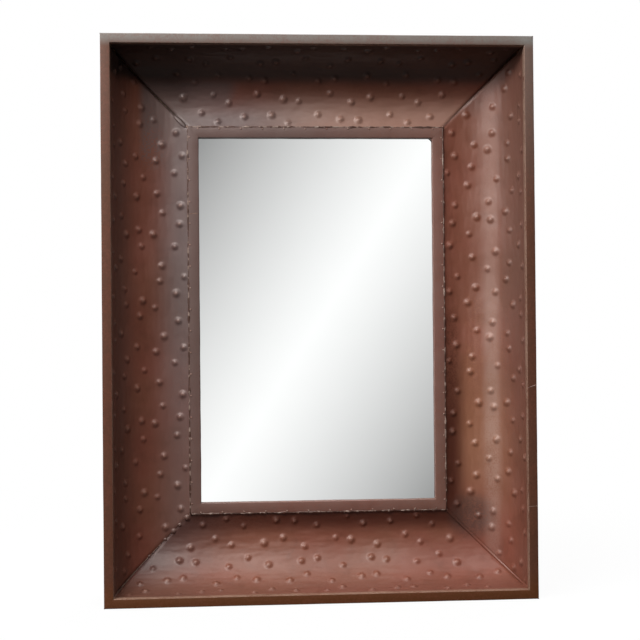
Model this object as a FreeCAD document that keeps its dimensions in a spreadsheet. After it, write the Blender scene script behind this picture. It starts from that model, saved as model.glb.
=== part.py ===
import FreeCAD, Part
import math
import os
import re

import Sketcher
from FreeCAD import Rotation, Vector

# Framed mirror: a deep wooden box clad in folded sheet, with four hammered sheet scoops that
# fall back from its rim to a narrow lip, and a mirror held behind that lip.
# The front faces -Y, +Z is up, and the origin is under the middle of the box.

doc = FreeCAD.newDocument("framed_mirror")

# Driving dimensions in millimetres, apart from angles, which are in degrees
DIMENSIONS = (
    ("width", 616, "outside width"),
    ("height", 806, "outside height"),
    ("cladding", 0.6, "thickness of the rim and lip sheet"),
    ("board", 12, "thickness of the outer boards"),
    ("rim_return", 12, "depth of the rim's fold down its inner side"),
    ("side_setback", 3, "bare wood left at the back of the sides"),
    ("scoop_sheet", 0.7, "thickness of the hammered sheet"),
    ("scoop_edge", 2, "depth of the scoop's outer edge behind the rim's front"),
    ("scoop_straight", 14, "depth at which the scoop leaves the board"),
    ("scoop_radius", 76, "radius of the scoop's face"),
    ("scoop_rise", 6, "height of the scoop's inner edge above its deepest line"),
    ("boss_width", 9, "width of a hammered boss"),
    ("boss_crown", 4, "width of the flat on a boss"),
    ("boss_height", 2.4, "height of a boss above the sheet"),
    ("boss_root", 0.35, "how far a boss's foot lies under the sheet's face"),
    ("boss_pitch", 35, "mean spacing of the bosses along a lane"),
    ("boss_wander", 7, "how far a boss may stray from its even place"),
    ("boss_margin", 9, "least distance from a boss's centre to a mitre"),
    ("lip_width", 15.6, "width of the lip"),
    ("lip_proud", 2, "step from the scoop's inner edge up to the lip"),
    ("lip_front", 5.9, "wood left in front of the glass"),
    ("glass", 4, "thickness of the mirror glass"),
    ("glass_overlap", 6.4, "width of the rebate behind the lip"),
    ("glass_play", 0.5, "gap round the edge of the glass"),
    ("card", 1.5, "thickness of the backing card"),
    ("panel", 6, "thickness of the back panel"),
    ("panel_play", 0.5, "gap round the edge of the back panel"),
    ("hanger_recess", 8, "depth from the panel to the boards' back edges"),
    ("cleat_width", 25, "width of the cleats, in from the boards"),
    ("cleat_gap", 3.3, "gap between a cleat and the back of the scoop"),
    ("screw_shank", 3, "diameter of a screw's shank"),
    ("screw_head", 6.6, "diameter of a screw's head"),
    ("screw_dome", 2, "height of a screw's head"),
    ("screw_crown", 4, "diameter of the flat on a screw's head"),
    ("screw_tip", 1, "diameter of a screw's tip"),
    ("screw_play", 0.05, "gap round a screw's shank"),
    ("cleat_grip", 13, "screw length in a cleat"),
    ("strip_grip", 8, "screw length in a sight strip"),
    ("strap_width", 14, "width of a hanger strap"),
    ("strap_sheet", 1, "thickness of a hanger strap"),
    ("strap_chamfer", 4, "bevel on the corners at a strap's tail"),
    ("strap_gap", 1.5, "gap from a strap's tail to the board"),
    ("strap_flat", 28, "length of a strap's flat, tail to eye axis"),
    ("strap_hole_first", 6, "strap's tail to its first screw"),
    ("strap_hole_pitch", 12, "spacing of a strap's screws"),
    ("eye_wrap", 205, "angle at which the strap's rolled eye ends"),
    ("eye_play", 0.08, "running gap round the ring's bar"),
    ("ring_wire", 3, "diameter of the ring's wire"),
    ("ring_half", 11.5, "half width of the ring at its wire's centre"),
    ("ring_corner", 3.5, "bevel between the ring's bar and its legs"),
    ("ring_leg", 3, "straight leg between that bevel and the bow"),
    ("overrun", 5, "how far a cut runs past what it cuts"),
)

sheet = doc.addObject("Spreadsheet::Sheet", "Sizes")
for row, (alias, number, meaning) in enumerate(DIMENSIONS, start=1):
    sheet.set(f"A{row}", alias)
    sheet.set(f"B{row}", str(number))
    sheet.set(f"C{row}", meaning)
    sheet.setAlias(f"B{row}", alias)
doc.recompute()

# Places along the height or width, as shares of it
HANGER_HEIGHT_SHARE = 0.75
RIM_SEAM_SHARES = (0.165, 0.38)
CLEAT_SCREW_X_SHARES = (0.2, 0.8)
CLEAT_SCREW_Z_SHARES = (0.14, 0.5, 0.86)
STRIP_SCREW_X_SHARES = (0.5,)
STRIP_SCREW_Z_SHARES = (0.32, 0.68)

# Counts: lanes of bosses across a scoop, flat faces round a screw or a wire, and stretches in a ring's bow
BOSS_LANE_COUNT = 5
SCREW_SIDE_COUNT = 6
WIRE_SIDE_COUNT = 8
BOW_COUNT = 8

# Beats of the waves that set where each boss strays, along the lane and across it, by lane and by place
BOSS_STRAYS = ((4.1, 2.3), (1.7, 3.9))

# Derived places. Inward runs from the outer face towards the middle of the mirror,
# and y runs back from the middle of the box's depth.
SCOOP_DEPTH = "(scoop_straight + scoop_radius - scoop_rise)"
DEPTH = f"({SCOOP_DEPTH} - lip_proud + cladding + lip_front + glass + card + panel + hanger_recess)"
FRONT = f"(-{DEPTH} / 2)"
BACK = f"({DEPTH} / 2)"
BOARD_INNER = "(cladding + board)"
RIM_INNER = f"({BOARD_INNER} + scoop_sheet + cladding)"
SCOOP_FACE = f"({BOARD_INNER} + scoop_sheet)"
SCOOP_AXIS = f"({SCOOP_FACE} + scoop_radius)"
SCOOP_AXIS_Y = f"({FRONT} + scoop_straight)"
SCOOP_BACK_RADIUS = "(scoop_radius + scoop_sheet)"
LIP_OUTER = f"({SCOOP_AXIS} + sqrt(scoop_radius ^ 2 - (scoop_radius - scoop_rise) ^ 2))"
SIGHT = f"({LIP_OUTER} + lip_width)"
SCOOP_END_Y = f"({FRONT} + {SCOOP_DEPTH})"
SCOOP_END_BACK_Y = f"({SCOOP_AXIS_Y} + sqrt({SCOOP_BACK_RADIUS} ^ 2 - ({LIP_OUTER} - {SCOOP_AXIS}) ^ 2))"
LIP_Y = f"({SCOOP_END_Y} - lip_proud)"
GLASS_Y = f"({LIP_Y} + cladding + lip_front)"
CARD_Y = f"({GLASS_Y} + glass)"
PANEL_Y = f"({CARD_Y} + card)"
PANEL_BACK_Y = f"({PANEL_Y} + panel)"
REBATE = f"({SIGHT} - cladding - glass_overlap)"
CLEAT_INNER = f"({BOARD_INNER} + cleat_width)"
CLEAT_LINE = f"({BOARD_INNER} + cleat_width / 2)"
CLEAT_Y = f"({SCOOP_AXIS_Y} + sqrt({SCOOP_BACK_RADIUS} ^ 2 - ({SCOOP_AXIS} - {CLEAT_INNER}) ^ 2) + cleat_gap)"
STRIP_LINE = f"(({LIP_OUTER} + cladding + {REBATE}) / 2)"

# Where the middle of each outer face lies, and the side's length, each a quarter turn on from the one before
SIDES = {
    "bottom": ("0", "0", "width"),
    "left": ("-width / 2", "height / 2", "height"),
    "top": ("0", "height", "width"),
    "right": ("width / 2", "height / 2", "height"),
}
TURNS = {side: 360 * step / len(SIDES) for step, side in enumerate(SIDES)}

ALIASES = {alias for alias, number, meaning in DIMENSIONS}
pieces = []


def cells(expression):
    """The expression with each size's name pointing at its cell."""
    return re.sub("[a-z_]+", lambda word: f"Sizes.{word[0]}" if word[0] in ALIASES else word[0], expression)


def size(expression):
    return float(sheet.evalExpression(cells(expression)))


def bind(item, target, expression):
    item.setExpression(target, cells(expression))


def piece(item, label):
    """Names an object as one of the mirror's own pieces."""
    item.Label = label
    pieces.append(item)
    return item


class Bow:
    """A round stretch of an outline: its radius, the way it turns, and whether it is over a half circle."""

    def __init__(self, radius, turn, large=False):
        self.radius = radius
        self.turn = turn
        self.large = large

    def curve(self, start, end):
        radius = size(self.radius)
        chord = end - start
        reach = math.sqrt(max(radius ** 2 - (chord.Length / 2) ** 2, 0))
        side = Vector(-chord.y, chord.x, 0).normalize()
        toward_left = (self.turn == "left") != self.large
        centre = (start + end) / 2 + side * (reach if toward_left else -reach)
        first, last = (start, end) if self.turn == "left" else (end, start)
        angles = [math.atan2(point.y - centre.y, point.x - centre.x) for point in (first, last)]
        return Part.ArcOfCircle(Part.Circle(centre, Vector(0, 0, 1), radius), *angles)


def sketch_on(body, role, name):
    sketch = body.newObject("Sketcher::SketchObject", name)
    plane = next(item for item in body.Origin.OriginFeatures if item.Role == role)
    sketch.AttachmentSupport = [(plane, "")]
    sketch.MapMode = "FlatFace"
    return sketch


def draw_outline(sketch, corners):
    """Closes an outline through corners given as sizes. A third entry bows the stretch after that corner."""
    points = [Vector(size(corner[0]), size(corner[1]), 0) for corner in corners]
    ends = []
    for index, corner in enumerate(corners):
        start, end = points[index], points[(index + 1) % len(points)]
        bow = corner[2] if len(corner) > 2 else None
        curve = bow.curve(start, end) if bow else Part.LineSegment(start, end)
        stretch = sketch.addGeometry(curve, False)
        ends.append((stretch, 2, 1) if bow and bow.turn == "right" else (stretch, 1, 2))
        if bow:
            radius = sketch.addConstraint(Sketcher.Constraint("Radius", stretch, size(bow.radius)))
            bind(sketch, f"Constraints[{radius}]", bow.radius)
    for index, (stretch, first, last) in enumerate(ends):
        after, after_first, _ = ends[(index + 1) % len(ends)]
        sketch.addConstraint(Sketcher.Constraint("Coincident", stretch, last, after, after_first))
        for direction, length in (("DistanceX", corners[index][0]), ("DistanceY", corners[index][1])):
            place = sketch.addConstraint(Sketcher.Constraint(direction, -1, 1, stretch, first, size(length)))
            bind(sketch, f"Constraints[{place}]", length)


def round_outline(across, up, radius, side_count):
    """Corners of a regular outline round a centre, with a flat at the bottom."""
    turns = [360 * (index + 0.5) / side_count for index in range(side_count)]
    return [(f"{across} + {radius} * sin({turn})", f"{up} + {radius} * cos({turn})") for turn in turns]


def pad(body, sketch, length):
    """Thickens a sketch by the same amount to both sides of its plane."""
    feature = body.newObject("PartDesign::Pad", "Pad")
    feature.Profile = sketch
    feature.SideType = "Symmetric"
    bind(feature, "Length", length)
    return feature


def cut_through(body, sketch):
    """Cuts a sketch right through its body, to both sides of its plane."""
    feature = body.newObject("PartDesign::Pocket", "Pocket")
    feature.Profile = sketch
    feature.Type = "ThroughAll"
    feature.SideType = "Symmetric"
    return feature


def turn_to_side(body, side):
    """Places a bar that was drawn along the bottom at its own side of the box."""
    across, up, _ = SIDES[side]
    body.Placement = FreeCAD.Placement(Vector(), Rotation(Vector(0, 1, 0), TURNS[side]))
    bind(body, "Placement.Base.x", across)
    bind(body, "Placement.Base.z", up)


def mitred_bar(label, side, outline):
    """One side of a frame: an outline of y and inward places, drawn out and mitred at the box's corners."""
    length = SIDES[side][2]
    body = doc.addObject("PartDesign::Body", label)
    profile = sketch_on(body, "YZ_Plane", "Profile")
    draw_outline(profile, outline)
    pad(body, profile, length)
    mitres = sketch_on(body, "XZ_Plane", "Mitres")
    for hand in ("", "-"):
        draw_outline(mitres, (
            (f"{hand}({length} / 2 + overrun)", "-overrun"),
            (f"{hand}({length} / 2 + overrun)", f"{SIGHT} + overrun"),
            (f"{hand}({length} / 2 - {SIGHT} - overrun)", f"{SIGHT} + overrun"),
        ))
    cut_through(body, mitres)
    turn_to_side(body, side)
    return body


def keep_between(body, side, low, high):
    """Cuts a bar square at places along its height, each None where the bar keeps its mitre."""
    length = SIDES[side][2]
    trims = sketch_on(body, "XZ_Plane", "Trims")
    for place, hand in ((low, "-"), (high, "")):
        if place:
            edge = f"({place} - {length} / 2)"
            far = f"({hand}({length} / 2 + overrun))"
            inner = f"{SIGHT} + overrun"
            draw_outline(trims, ((edge, "-overrun"), (edge, inner), (far, inner), (far, "-overrun")))
    cut_through(body, trims)


def plain_sheet(label, low_y, high_y, inset):
    """A flat rectangular sheet between two depths, inset alike from all four outer faces of the box."""
    body = doc.addObject("PartDesign::Body", label)
    face = sketch_on(body, "XZ_Plane", "Face")
    across = f"(width / 2 - {inset})"
    draw_outline(face, ((f"-{across}", inset), (across, inset), (across, f"height - {inset}"),
                        (f"-{across}", f"height - {inset}")))
    pad(body, face, f"{high_y} - {low_y}")
    bind(body, "Placement.Base.y", f"({low_y} + {high_y}) / 2")
    return body


def drilled(body, holes, label):
    """A piece with the screws' holes cut through it."""
    cut = doc.addObject("Part::Cut", "Drilled")
    cut.Base = body
    cut.Tool = holes
    return piece(cut, label)


# Screw places as x, z pairs: all round the cleats, all round the sight strips, and two in each hanger
cleat_x = size(f"width / 2 - {CLEAT_LINE}")
cleat_z = [size(CLEAT_LINE), size(f"height - {CLEAT_LINE}")]
strip_x = size(f"width / 2 - {STRIP_LINE}")
strip_z = [size(STRIP_LINE), size(f"height - {STRIP_LINE}")]
left_edge = size("-width / 2")
hanger_z = size("height") * HANGER_HEIGHT_SHARE
strap_x = size(f"-width / 2 + {BOARD_INNER} + strap_gap")

cleat_places = [(left_edge + size("width") * share, z) for share in CLEAT_SCREW_X_SHARES for z in cleat_z]
cleat_places += [(x, size("height") * share) for share in CLEAT_SCREW_Z_SHARES for x in (-cleat_x, cleat_x)]
strip_places = [(left_edge + size("width") * share, z) for share in STRIP_SCREW_X_SHARES for z in strip_z]
strip_places += [(x, size("height") * share) for share in STRIP_SCREW_Z_SHARES for x in (-strip_x, strip_x)]
strap_holes = [size("strap_hole_first"), size("strap_hole_first + strap_hole_pitch")]
hanger_places = [(hand * (strap_x + hole), hanger_z) for hand in (1, -1) for hole in strap_holes]


def faceted(stations, side_count):
    """A closed solid of flat faces round the y axis, through stations of height and diameter."""
    rings = []
    for height, diameter in stations:
        angles = [2 * math.pi * (index + 0.5) / side_count for index in range(side_count)]
        half = size(diameter) / 2
        level = size(height)
        rings.append([Vector(half * math.sin(angle), level, half * math.cos(angle)) for angle in angles])
    outlines = [rings[0][::-1], rings[-1]]
    for lower, upper in zip(rings, rings[1:]):
        for index in range(side_count):
            after = (index + 1) % side_count
            outlines.append([lower[index], lower[after], upper[after], upper[index]])
    shell = Part.makeShell([Part.Face(Part.makePolygon(points + points[:1])) for points in outlines])
    shell.sewShape()
    return Part.makeSolid(shell)


def screw_group(label, places, seat_y, length):
    """Pan-headed wood screws, driven forwards with their heads on one plane, and the holes they stand in."""
    tip = f"-({length})"
    screw = faceted((
        (tip, "screw_tip"), ("0", "screw_shank"), ("0", "screw_head"), ("screw_dome", "screw_crown"),
    ), SCREW_SIDE_COUNT)
    bore = "screw_shank + 2 * screw_play"
    hole = faceted(((f"{tip} - screw_play", bore), ("0", bore)), SCREW_SIDE_COUNT)
    for name, solid in ((label, screw), (f"{label}_holes", hole)):
        group = doc.addObject("Part::Feature", name)
        group.Shape = Part.makeCompound([solid.translated(Vector(x, size(seat_y), z)) for x, z in places])
    piece(doc.getObject(label), label)
    return group


cleat_holes = screw_group("cleat_screws", cleat_places, PANEL_BACK_Y, "(panel + cleat_grip)")
strip_holes = screw_group("sight_strip_screws", strip_places, PANEL_BACK_Y, "(panel + strip_grip)")
hanger_holes = screw_group("hanger_screws", hanger_places, f"({PANEL_BACK_Y} + strap_sheet)",
                           "(strap_sheet + panel + cleat_grip)")
all_holes = doc.addObject("Part::Compound", "all_holes")
all_holes.Links = [cleat_holes, strip_holes, hanger_holes]

# The outer box: mitred boards on edge
for side in SIDES:
    piece(mitred_bar(f"{side}_board", side, (
        (f"{FRONT} + cladding", BOARD_INNER),
        (f"{FRONT} + cladding", "cladding"),
        (BACK, "cladding"),
        (BACK, BOARD_INNER),
    )), f"{side}_board")

# Cleats glued inside the boards, which the back panel is screwed to
for side in SIDES:
    blank = mitred_bar(f"{side}_cleat_blank", side, (
        (CLEAT_Y, BOARD_INNER),
        (PANEL_Y, BOARD_INNER),
        (PANEL_Y, CLEAT_INNER),
        (CLEAT_Y, CLEAT_INNER),
    ))
    drilled(blank, all_holes, f"{side}_cleat")

# Rim cladding: one folded sheet down the outside, over the boards' front and a little way back inside
RIM_OUTLINE = (
    (f"{BACK} - side_setback", "0"),
    (f"{BACK} - side_setback", "cladding"),
    (f"{FRONT} + cladding", "cladding"),
    (f"{FRONT} + cladding", f"{RIM_INNER} - cladding"),
    (f"{FRONT} + rim_return", f"{RIM_INNER} - cladding"),
    (f"{FRONT} + rim_return", RIM_INNER),
    (f"{FRONT} + cladding", RIM_INNER, Bow("cladding", "left")),
    (FRONT, f"{RIM_INNER} - cladding"),
    (FRONT, "cladding", Bow("cladding", "left")),
    (f"{FRONT} + cladding", "0"),
)
for side in ("top", "bottom", "left"):
    piece(mitred_bar(f"{side}_rim", side, RIM_OUTLINE), f"{side}_rim")

# The right rim is pieced from three lengths
low_seam, high_seam = [f"({share} * height)" for share in RIM_SEAM_SHARES]
lengths = (("lower", None, low_seam), ("middle", low_seam, high_seam), ("upper", high_seam, None))
for part, low, high in lengths:
    stretch = mitred_bar(f"right_rim_{part}", "right", RIM_OUTLINE)
    keep_between(stretch, "right", low, high)
    piece(stretch, f"right_rim_{part}")


def hammered_bosses(side):
    """Low bosses driven up from behind, in lanes along a scoop that the hammer strayed from."""
    half_width = size("boss_width / 2")
    half_crown = size("boss_crown / 2")
    boss = Part.makeWedge(-half_width, -size("boss_root"), -half_width, -half_crown, -half_crown,
                          half_width, size("boss_height"), half_width, half_crown, half_crown)
    radius = size("scoop_radius")
    axis_y = size(SCOOP_AXIS_Y)
    axis_in = size(SCOOP_AXIS)
    pitch = size("boss_pitch")
    wander = size("boss_wander")
    half_length = size(SIDES[side][2]) / 2
    sweep = math.pi - math.acos((size(LIP_OUTER) - axis_in) / radius)
    column_count = 2 * math.ceil(half_length / pitch) + 1
    bosses = []
    for lane in range(BOSS_LANE_COUNT):
        for column in range(column_count):
            stray = [math.sin(first * lane + second * column) for first, second in BOSS_STRAYS]
            along = (column - column_count // 2 + lane % 2 / 2) * pitch + wander * stray[0]
            angle = sweep * (lane + 0.5) / BOSS_LANE_COUNT + wander * stray[1] / radius
            inward = axis_in - radius * math.cos(angle)
            if abs(along) < half_length - inward - size("boss_margin"):
                foot = Vector(along, axis_y + radius * math.sin(angle), inward)
                upright = Rotation(Vector(0, 1, 0), Vector(0, axis_y - foot.y, axis_in - foot.z))
                bosses.append(boss.transformed(FreeCAD.Placement(foot, upright).Matrix))
    group = doc.addObject("Part::Feature", f"{side}_bosses")
    group.Shape = Part.makeCompound(bosses)
    turn_to_side(group, side)
    return group


# Scoops: hammered sheet with an edge under the rim's fold, a quarter round and a rise up to the lip
for side in SIDES:
    hammered = doc.addObject("Part::Fuse", "Hammered")
    hammered.Base = mitred_bar(f"{side}_scoop_sheet", side, (
        (f"{FRONT} + scoop_edge", BOARD_INNER),
        (SCOOP_AXIS_Y, BOARD_INNER, Bow(SCOOP_BACK_RADIUS, "left")),
        (SCOOP_END_BACK_Y, LIP_OUTER),
        (SCOOP_END_Y, LIP_OUTER, Bow("scoop_radius", "right")),
        (SCOOP_AXIS_Y, SCOOP_FACE),
        (f"{FRONT} + scoop_edge", SCOOP_FACE),
    ))
    hammered.Tool = hammered_bosses(side)
    piece(hammered, f"{side}_scoop")

# Sight strips: wood round the opening, rebated at the back for the glass and its card
for side in SIDES:
    blank = mitred_bar(f"{side}_sight_strip_blank", side, (
        (f"{LIP_Y} + cladding", f"{LIP_OUTER} + cladding"),
        (PANEL_Y, f"{LIP_OUTER} + cladding"),
        (PANEL_Y, REBATE),
        (GLASS_Y, REBATE),
        (GLASS_Y, f"{SIGHT} - cladding"),
        (f"{LIP_Y} + cladding", f"{SIGHT} - cladding"),
    ))
    drilled(blank, all_holes, f"{side}_sight_strip")

# Lip cladding: sheet folded over the sight strips, down to the panel outside and to the glass inside
for side in SIDES:
    piece(mitred_bar(f"{side}_lip", side, (
        (PANEL_Y, LIP_OUTER),
        (PANEL_Y, f"{LIP_OUTER} + cladding"),
        (f"{LIP_Y} + cladding", f"{LIP_OUTER} + cladding"),
        (f"{LIP_Y} + cladding", f"{SIGHT} - cladding"),
        (GLASS_Y, f"{SIGHT} - cladding"),
        (GLASS_Y, SIGHT),
        (f"{LIP_Y} + cladding", SIGHT, Bow("cladding", "left")),
        (LIP_Y, f"{SIGHT} - cladding"),
        (LIP_Y, f"{LIP_OUTER} + cladding", Bow("cladding", "left")),
        (f"{LIP_Y} + cladding", LIP_OUTER),
    )), f"{side}_lip")

# The mirror, its backing card and the back panel, one behind another
piece(plain_sheet("mirror_glass", GLASS_Y, CARD_Y, f"({REBATE} + glass_play)"), "mirror_glass")
piece(plain_sheet("backing_card", CARD_Y, PANEL_Y, f"({REBATE} + glass_play)"), "backing_card")
panel_blank = plain_sheet("back_panel_blank", PANEL_Y, PANEL_BACK_Y, f"({BOARD_INNER} + panel_play)")
drilled(panel_blank, all_holes, "back_panel")

# Hangers, drawn with x inwards from the strap's tail and y back from the panel
EYE_RADIUS = "(ring_wire / 2 + eye_play)"
EYE_OUTER = f"({EYE_RADIUS} + strap_sheet)"


def place_hanger(body, hand):
    """Puts a hanger's piece at its own side of the panel, with the right one turned about."""
    body.Placement = FreeCAD.Placement(Vector(), Rotation(Vector(0, 1, 0), 0 if hand == "left" else 180))
    mirrored = "" if hand == "left" else "-"
    bind(body, "Placement.Base.x", f"{mirrored}(-width / 2 + {BOARD_INNER} + strap_gap)")
    bind(body, "Placement.Base.y", PANEL_BACK_Y)
    bind(body, "Placement.Base.z", f"{HANGER_HEIGHT_SHARE} * height")


def hanger_strap(hand):
    """A strip of sheet with two screw holes, rolled into an eye round the ring's bar."""
    body = doc.addObject("PartDesign::Body", f"{hand}_hanger_strap")
    profile = sketch_on(body, "XY_Plane", "Profile")
    draw_outline(profile, (
        ("0", "0"),
        ("strap_flat", "0", Bow(EYE_OUTER, "left", large=True)),
        (f"strap_flat + {EYE_OUTER} * cos(eye_wrap)", f"{EYE_OUTER} + {EYE_OUTER} * sin(eye_wrap)"),
        (f"strap_flat + {EYE_RADIUS} * cos(eye_wrap)", f"{EYE_OUTER} + {EYE_RADIUS} * sin(eye_wrap)",
         Bow(EYE_RADIUS, "right", large=True)),
        ("strap_flat", "strap_sheet"),
        ("0", "strap_sheet"),
    ))
    rolled = pad(body, profile, "strap_width")
    holes = sketch_on(body, "XZ_Plane", "Holes")
    for place in ("strap_hole_first", "(strap_hole_first + strap_hole_pitch)"):
        draw_outline(holes, round_outline(place, "0", "(screw_shank / 2 + screw_play)", SCREW_SIDE_COUNT))
    punched = cut_through(body, holes)
    doc.recompute()
    tail = [f"Edge{index}" for index, edge in enumerate(punched.Shape.Edges, start=1)
            if edge.BoundBox.XMax < size("strap_sheet") and edge.BoundBox.ZLength < size("strap_sheet")]
    bevelled = body.newObject("PartDesign::Chamfer", "Bevelled")
    bevelled.Base = (punched, tail)
    bind(bevelled, "Size", "strap_chamfer")
    place_hanger(body, hand)
    return body


def hanger_ring(hand):
    """A D of wire whose straight bar runs in the strap's eye."""
    body = doc.addObject("PartDesign::Body", f"{hand}_hanger_ring")
    path = sketch_on(body, "XZ_Plane", "Path")
    bind(path, "AttachmentOffset.Base.z", f"-{EYE_OUTER}")
    bar_end = "(ring_half - ring_corner)"
    leg_start = "(strap_flat + ring_corner)"
    leg_end = f"({leg_start} + ring_leg)"
    turns = [180 * index / BOW_COUNT for index in range(BOW_COUNT + 1)]
    draw_outline(path, (
        ("strap_flat", "0"),
        ("strap_flat", bar_end),
        (leg_start, "ring_half"),
        *[(f"{leg_end} + ring_half * sin({turn})", f"ring_half * cos({turn})") for turn in turns],
        (leg_start, "-ring_half"),
        ("strap_flat", f"-{bar_end}"),
    ))
    section = sketch_on(body, "XY_Plane", "Section")
    draw_outline(section, round_outline("strap_flat", EYE_OUTER, "ring_wire / 2", WIRE_SIDE_COUNT))
    doc.recompute()
    wire = body.newObject("PartDesign::AdditivePipe", "Wire")
    wire.Profile = section
    wire.Spine = (path, [f"Edge{index}" for index in range(1, len(path.Shape.Edges) + 1)])
    wire.Transition = "Right corner"
    place_hanger(body, hand)
    return body


for hand in ("left", "right"):
    piece(hanger_strap(hand), f"{hand}_hanger_strap")
    piece(hanger_ring(hand), f"{hand}_hanger_ring")

doc.recompute()
failed = [item.Label for item in doc.Objects if {"Invalid", "Error"} & set(item.State)]
failed += [item.Label for item in pieces if item.Shape.isNull() or not item.Shape.isValid()]
if failed:
    raise RuntimeError(f"not built: {failed}")

os.makedirs("parts", exist_ok=True)
for item in pieces:
    item.Shape.exportStep(f"parts/{item.Label}.step")
print(len(pieces), "pieces written")
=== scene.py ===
import math

import bmesh
import bpy
from mathutils import Matrix


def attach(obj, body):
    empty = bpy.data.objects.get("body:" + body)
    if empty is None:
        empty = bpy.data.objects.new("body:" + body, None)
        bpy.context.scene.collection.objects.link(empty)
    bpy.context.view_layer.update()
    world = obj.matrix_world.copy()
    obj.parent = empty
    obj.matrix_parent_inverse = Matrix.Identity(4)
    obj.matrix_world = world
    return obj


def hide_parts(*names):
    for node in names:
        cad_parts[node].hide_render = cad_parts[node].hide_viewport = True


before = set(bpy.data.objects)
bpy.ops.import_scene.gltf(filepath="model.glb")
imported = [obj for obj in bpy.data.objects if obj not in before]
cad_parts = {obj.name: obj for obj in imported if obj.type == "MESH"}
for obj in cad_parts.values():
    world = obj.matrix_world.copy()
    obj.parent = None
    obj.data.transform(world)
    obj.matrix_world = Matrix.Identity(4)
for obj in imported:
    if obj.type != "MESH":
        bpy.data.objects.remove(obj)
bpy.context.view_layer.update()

# The box: four softwood boards on edge, mitred and glued, with cleats inside for the back panel
# and rebated strips round the glass. Bare planed wood, which shows only at the back.
ACROSS, DEEP, UPRIGHT = range(3)
GRAIN_STRETCH, WOOD_RELIEF, SHADED_WOOD = 0.06, 0.0002, 0.8
PINE = {"pale": (0.62, 0.44, 0.25), "dark": (0.36, 0.2, 0.09), "ring_count": 26.0, "figure": 7.0}


class Shade:
    """A value or colour in a finish, with the arithmetic that builds on it."""

    def __init__(self, socket):
        self.socket = socket

    def node(self, kind, settings, inputs, output=0):
        """A node in the same finish, its settings made first, then its sockets filled."""
        tree = self.socket.id_data
        made = tree.nodes.new(kind)
        for name, value in settings.items():
            setattr(made, name, value)
        for name, value in inputs.items():
            if isinstance(value, Shade):
                tree.links.new(value.socket, made.inputs[name])
            else:
                made.inputs[name].default_value = value
        return Shade(made.outputs[output]) if made.outputs else None

    def math(self, operation, first, second):
        return self.node("ShaderNodeMath", {"operation": operation}, {0: first, 1: second})

    def __add__(self, other):
        return self.math("ADD", self, other)

    def __radd__(self, other):
        return self.math("ADD", other, self)

    def __sub__(self, other):
        return self.math("SUBTRACT", self, other)

    def __rsub__(self, other):
        return self.math("SUBTRACT", other, self)

    def __mul__(self, other):
        return self.math("MULTIPLY", self, other)

    def __rmul__(self, other):
        return self.math("MULTIPLY", other, self)


def new_finish(name):
    """An empty finish, and the place on a piece that its pattern follows."""
    finish = bpy.data.materials.new(name)
    finish.use_nodes = True
    finish.node_tree.nodes.clear()
    place = finish.node_tree.nodes.new("ShaderNodeTexCoord")
    return finish, Shade(place.outputs["Object"])


def cloud(place, scale, detail=3.0, roughness=0.5, distortion=0.0):
    """Soft random patches, so many to the metre."""
    return place.node("ShaderNodeTexNoise", {}, {
        "Vector": place, "Scale": scale, "Detail": detail, "Roughness": roughness, "Distortion": distortion})


def eased(value, low, high):
    """Nothing below one level, everything above the other, and a soft step between."""
    return value.node("ShaderNodeMapRange", {"interpolation_type": "SMOOTHSTEP"}, {
        "Value": value, "From Min": low, "From Max": high})


def blended(amount, under, over):
    """One colour laid over another, by an amount."""
    under, over = [colour if isinstance(colour, Shade) else (*colour, 1) for colour in (under, over)]
    return amount.node("ShaderNodeMix", {"data_type": "RGBA"}, {0: amount, 6: under, 7: over}, output=2)


def surface(place, colour, roughness, height, depth, **plain):
    """Closes a finish: its colour, gloss and relief, and what is alike all over."""
    relief = place.node("ShaderNodeBump", {}, {"Height": height, "Distance": depth, "Strength": 1.0})
    shader = place.node("ShaderNodeBsdfPrincipled", {}, {
        "Base Color": colour, "Roughness": roughness, "Normal": relief, **plain})
    place.node("ShaderNodeOutputMaterial", {}, {"Surface": shader})


def bare_wood(name, along, pale, dark, ring_count, figure):
    """Planed wood with its grain drawn out along one way, straight or in wide flames."""
    finish, place = new_finish(name)
    stretch = tuple(GRAIN_STRETCH if axis == along else 1.0 for axis in range(3))
    drawn = place.node("ShaderNodeMapping", {}, {"Vector": place, "Scale": stretch})
    rings = place.node("ShaderNodeTexWave", {"wave_profile": "SAW"}, {
        "Vector": drawn, "Scale": ring_count, "Distortion": figure, "Detail": 2.0, "Detail Scale": 1.2}, output="Fac")
    late_wood = eased(rings, 0.35, 0.95) * (0.4 + 0.6 * cloud(drawn, 9.0, detail=2.0))
    pores = cloud(drawn, 900.0, detail=2.0)
    grain = late_wood * 0.7 + eased(pores, 0.5, 0.75) * 0.35
    shaded = [SHADED_WOOD * value for value in pale]
    tinted = blended(eased(cloud(place, 5.0, detail=2.0), 0.35, 0.65) * 0.35, pale, shaded)
    surface(place, blended(grain, tinted, dark), 0.58 + 0.22 * pores, pores - late_wood * 0.05, WOOD_RELIEF)
    return finish


def refinish(piece, finish):
    """Puts a finish on a piece in place of what it had."""
    piece.data.materials.clear()
    piece.data.materials.append(finish)


for name, along, sides in (("pine_across", ACROSS, ("top", "bottom")), ("pine_upright", UPRIGHT, ("left", "right"))):
    pine = bare_wood(name, along, **PINE)
    for side in sides:
        for part in ("board", "cleat", "sight_strip"):
            refinish(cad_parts[f"{side}_{part}"], pine)

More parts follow.
